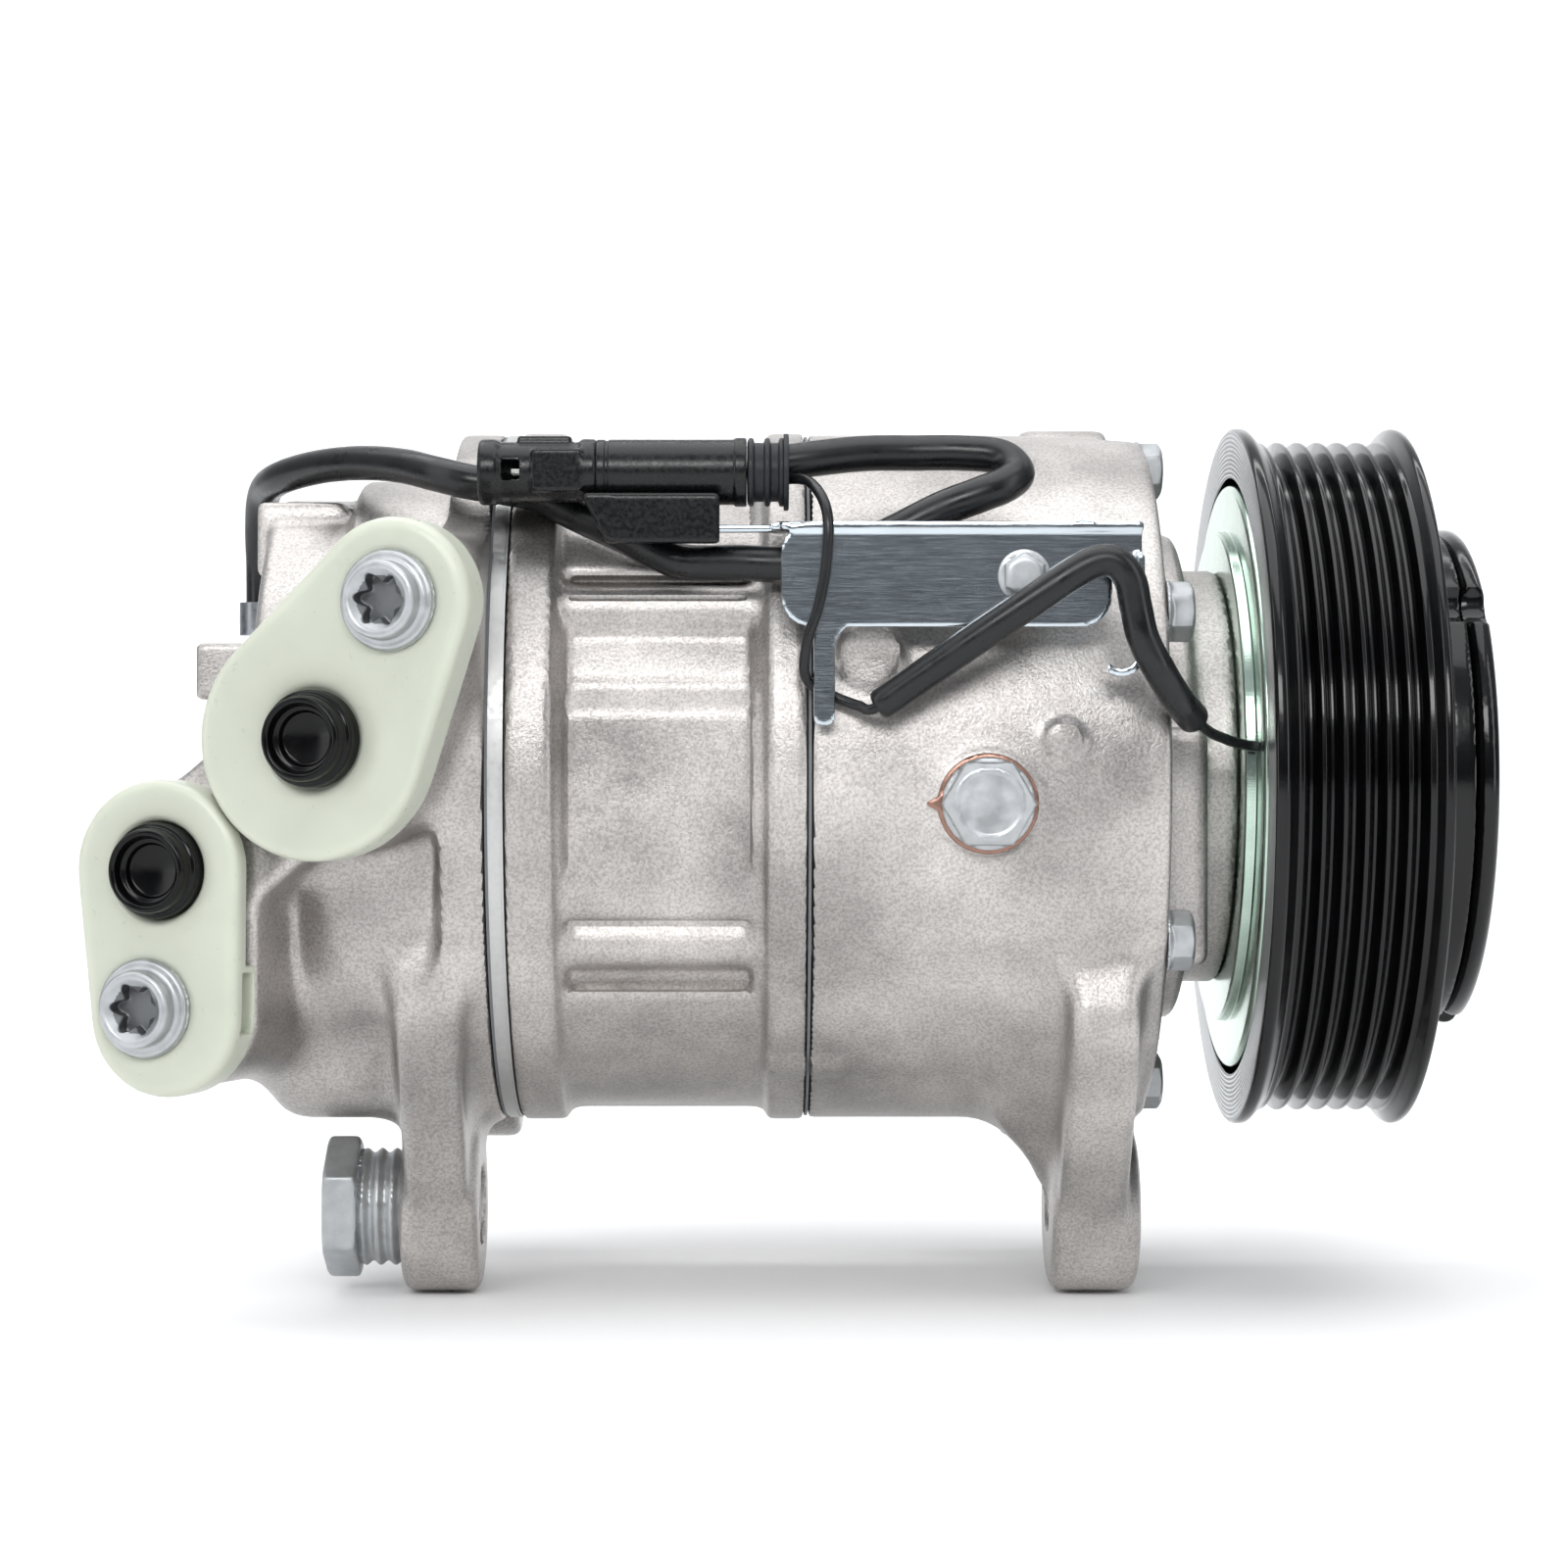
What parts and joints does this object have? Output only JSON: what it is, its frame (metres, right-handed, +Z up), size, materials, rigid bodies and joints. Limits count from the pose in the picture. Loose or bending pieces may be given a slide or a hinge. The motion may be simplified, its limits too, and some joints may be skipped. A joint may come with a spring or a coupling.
{
  "type": "automotive ac compressor",
  "caption": "Variable-stroke swash-plate refrigerant compressor with magnetic clutch, grooved belt pulley, harness bracket, mounting ears and capped ports.",
  "frame": {"origin": "shaft axis at the middle plane of the belt grooves", "axes": "+X along the shaft from the rear head towards the clutch, +Z up as mounted with the lower ears down, ports face -Y"},
  "size_m": [0.2383, 0.146, 0.156],
  "materials": {
    "cast_aluminium": "die-cast, fine speckled skin",
    "gasket": "coated steel gasket",
    "valve_steel": "ground spring steel",
    "bolt_steel": "zinc-plated steel",
    "cover_nylon": "natural moulded nylon",
    "plug_rubber": "glossy moulded rubber",
    "copper": "annealed copper",
    "valve_brass": "turned brass",
    "valve_body": "turned steel",
    "bracket_zinc": "bright zinc plate",
    "connector_plastic": "moulded glass-filled nylon",
    "seal_rubber": "silicone seal",
    "terminal_tin": "tin-plated",
    "cable_pvc": "extruded PVC jacket",
    "coil_steel": "clear zinc plate with a green cast",
    "winding": "enamelled copper wire in resin",
    "bearing_steel": "ground bearing steel",
    "cage_nylon": "moulded cage",
    "pulley_black": "gloss black coating over steel",
    "clutch_black": "gloss black coating",
    "damper_rubber": "bonded rubber",
    "shaft_steel": "ground hardened steel",
    "swash_iron": "machined iron",
    "piston_aluminium": "machined aluminium",
    "shoe_brass": "polished shoes"
  },
  "bodies": {
    "housing": {"front_housing": "cast_aluminium", "cylinder_block": "cast_aluminium", "front_gasket": "gasket", "valve_plate": "valve_steel", "suction_reed": "valve_steel", "discharge_reed": "valve_steel", "head_gasket": "gasket", "rear_head": "cast_aluminium", "through_bolts": "bolt_steel", "suction_cover": "cover_nylon", "discharge_cover": "cover_nylon", "port_plugs": "plug_rubber", "cover_bolts": "bolt_steel", "drain_plug": "bolt_steel", "drain_washer": "copper", "relief_valve": "valve_brass", "control_valve": "valve_body", "mount_sleeve": "bolt_steel", "harness_bracket": "bracket_zinc", "bracket_screw": "bolt_steel", "connector_plug": "connector_plastic", "connector_sleeve": "connector_plastic", "connector_seal": "seal_rubber", "connector_clip": "connector_plastic", "connector_pins": "terminal_tin", "control_cable": "cable_pvc", "coil_wire": "cable_pvc", "lead_sleeve": "cable_pvc", "coil_shell": "coil_steel", "coil_winding": "winding", "snap_rings": "bearing_steel", "bearing_inner_race": "bearing_steel", "shaft_seal": "seal_rubber", "front_bearing": "bearing_steel", "rear_bearing": "bearing_steel"},
    "pulley": {"pulley": "pulley_black", "bearing_outer_race": "bearing_steel"},
    "pulley_balls": {"bearing_balls": "bearing_steel", "bearing_cage": "cage_nylon"},
    "shaft": {"shaft": "shaft_steel", "lug_plate": "swash_iron", "return_spring": "valve_steel", "clutch_hub": "clutch_black", "hub_damper": "damper_rubber", "hub_nut": "bolt_steel"},
    "armature": {"armature_plate": "clutch_black", "armature_cover": "clutch_black"},
    "swash": {"swash_plate": "swash_iron"},
    "piston_1": {"piston_1": "piston_aluminium"},
    "shoes_1": {"shoes_1": "shoe_brass"},
    "piston_2": {"piston_2": "piston_aluminium"},
    "shoes_2": {"shoes_2": "shoe_brass"},
    "piston_3": {"piston_3": "piston_aluminium"},
    "shoes_3": {"shoes_3": "shoe_brass"},
    "piston_4": {"piston_4": "piston_aluminium"},
    "shoes_4": {"shoes_4": "shoe_brass"},
    "piston_5": {"piston_5": "piston_aluminium"},
    "shoes_5": {"shoes_5": "shoe_brass"},
    "piston_6": {"piston_6": "piston_aluminium"},
    "shoes_6": {"shoes_6": "shoe_brass"}
  },
  "joints": [
    {"name": "pulley_spin", "type": "hinge", "parent": "housing", "child": "pulley", "pos_m": [0, 0, 0], "axis": [1, 0, 0], "continuous": true},
    {"name": "ball_roll", "type": "hinge", "parent": "housing", "child": "pulley_balls", "pos_m": [0, 0, 0], "axis": [1, 0, 0], "continuous": true},
    {"name": "shaft_spin", "type": "hinge", "parent": "housing", "child": "shaft", "pos_m": [0, 0, 0], "axis": [1, 0, 0], "continuous": true},
    {"name": "clutch_engage", "type": "slide", "parent": "shaft", "child": "armature", "axis": [-1, 0, 0], "range_m": [0, 0.00045], "stiffness_N_per_m": 4000},
    {"name": "swash_tilt", "type": "hinge", "parent": "housing", "child": "swash", "pos_m": [-0.0855, 0, 0.037], "axis": [0, -1, 0], "range_deg": [0, 18.9]},
    {"name": "piston_1_stroke", "type": "slide", "parent": "housing", "child": "piston_1", "axis": [1, 0, 0], "range_m": [0, 0.01259]},
    {"name": "piston_2_stroke", "type": "slide", "parent": "housing", "child": "piston_2", "axis": [1, 0, 0], "range_m": [0, 0.002]},
    {"name": "piston_3_stroke", "type": "slide", "parent": "housing", "child": "piston_3", "axis": [1, 0, 0], "range_m": [0, 0.002]},
    {"name": "piston_4_stroke", "type": "slide", "parent": "housing", "child": "piston_4", "axis": [1, 0, 0], "range_m": [0, 0.01259]},
    {"name": "piston_5_stroke", "type": "slide", "parent": "housing", "child": "piston_5", "axis": [1, 0, 0], "range_m": [0, 0.02318]},
    {"name": "piston_6_stroke", "type": "slide", "parent": "housing", "child": "piston_6", "axis": [1, 0, 0], "range_m": [0, 0.02318]},
    {"name": "shoes_1_swivel", "type": "hinge", "parent": "piston_1", "child": "shoes_1", "pos_m": [-0.0855, -0.036, 0], "axis": [0, -1, 0], "range_deg": [0, 18.9]},
    {"name": "shoes_2_swivel", "type": "hinge", "parent": "piston_2", "child": "shoes_2", "pos_m": [-0.0855, -0.018, 0.03118], "axis": [0, -1, 0], "range_deg": [0, 18.9]},
    {"name": "shoes_3_swivel", "type": "hinge", "parent": "piston_3", "child": "shoes_3", "pos_m": [-0.0855, 0.018, 0.03118], "axis": [0, -1, 0], "range_deg": [0, 18.9]},
    {"name": "shoes_4_swivel", "type": "hinge", "parent": "piston_4", "child": "shoes_4", "pos_m": [-0.0855, 0.036, 0], "axis": [0, -1, 0], "range_deg": [0, 18.9]},
    {"name": "shoes_5_swivel", "type": "hinge", "parent": "piston_5", "child": "shoes_5", "pos_m": [-0.0855, 0.018, -0.03118], "axis": [0, -1, 0], "range_deg": [0, 18.9]},
    {"name": "shoes_6_swivel", "type": "hinge", "parent": "piston_6", "child": "shoes_6", "pos_m": [-0.0855, -0.018, -0.03118], "axis": [0, -1, 0], "range_deg": [0, 18.9]}
  ],
  "couplings": [
    {"joint": "ball_roll", "follows": "pulley_spin", "ratio": 0.5667},
    {"joint": "piston_1_stroke", "follows": "swash_tilt", "m_per_rad": 0.03811},
    {"joint": "piston_2_stroke", "follows": "swash_tilt", "m_per_rad": 0.005998},
    {"joint": "piston_3_stroke", "follows": "swash_tilt", "m_per_rad": 0.005998},
    {"joint": "piston_4_stroke", "follows": "swash_tilt", "m_per_rad": 0.03811},
    {"joint": "piston_5_stroke", "follows": "swash_tilt", "m_per_rad": 0.070222},
    {"joint": "piston_6_stroke", "follows": "swash_tilt", "m_per_rad": 0.070222},
    {"joint": "shoes_1_swivel", "follows": "swash_tilt", "ratio": 1},
    {"joint": "shoes_2_swivel", "follows": "swash_tilt", "ratio": 1},
    {"joint": "shoes_3_swivel", "follows": "swash_tilt", "ratio": 1},
    {"joint": "shoes_4_swivel", "follows": "swash_tilt", "ratio": 1},
    {"joint": "shoes_5_swivel", "follows": "swash_tilt", "ratio": 1},
    {"joint": "shoes_6_swivel", "follows": "swash_tilt", "ratio": 1}
  ]
}
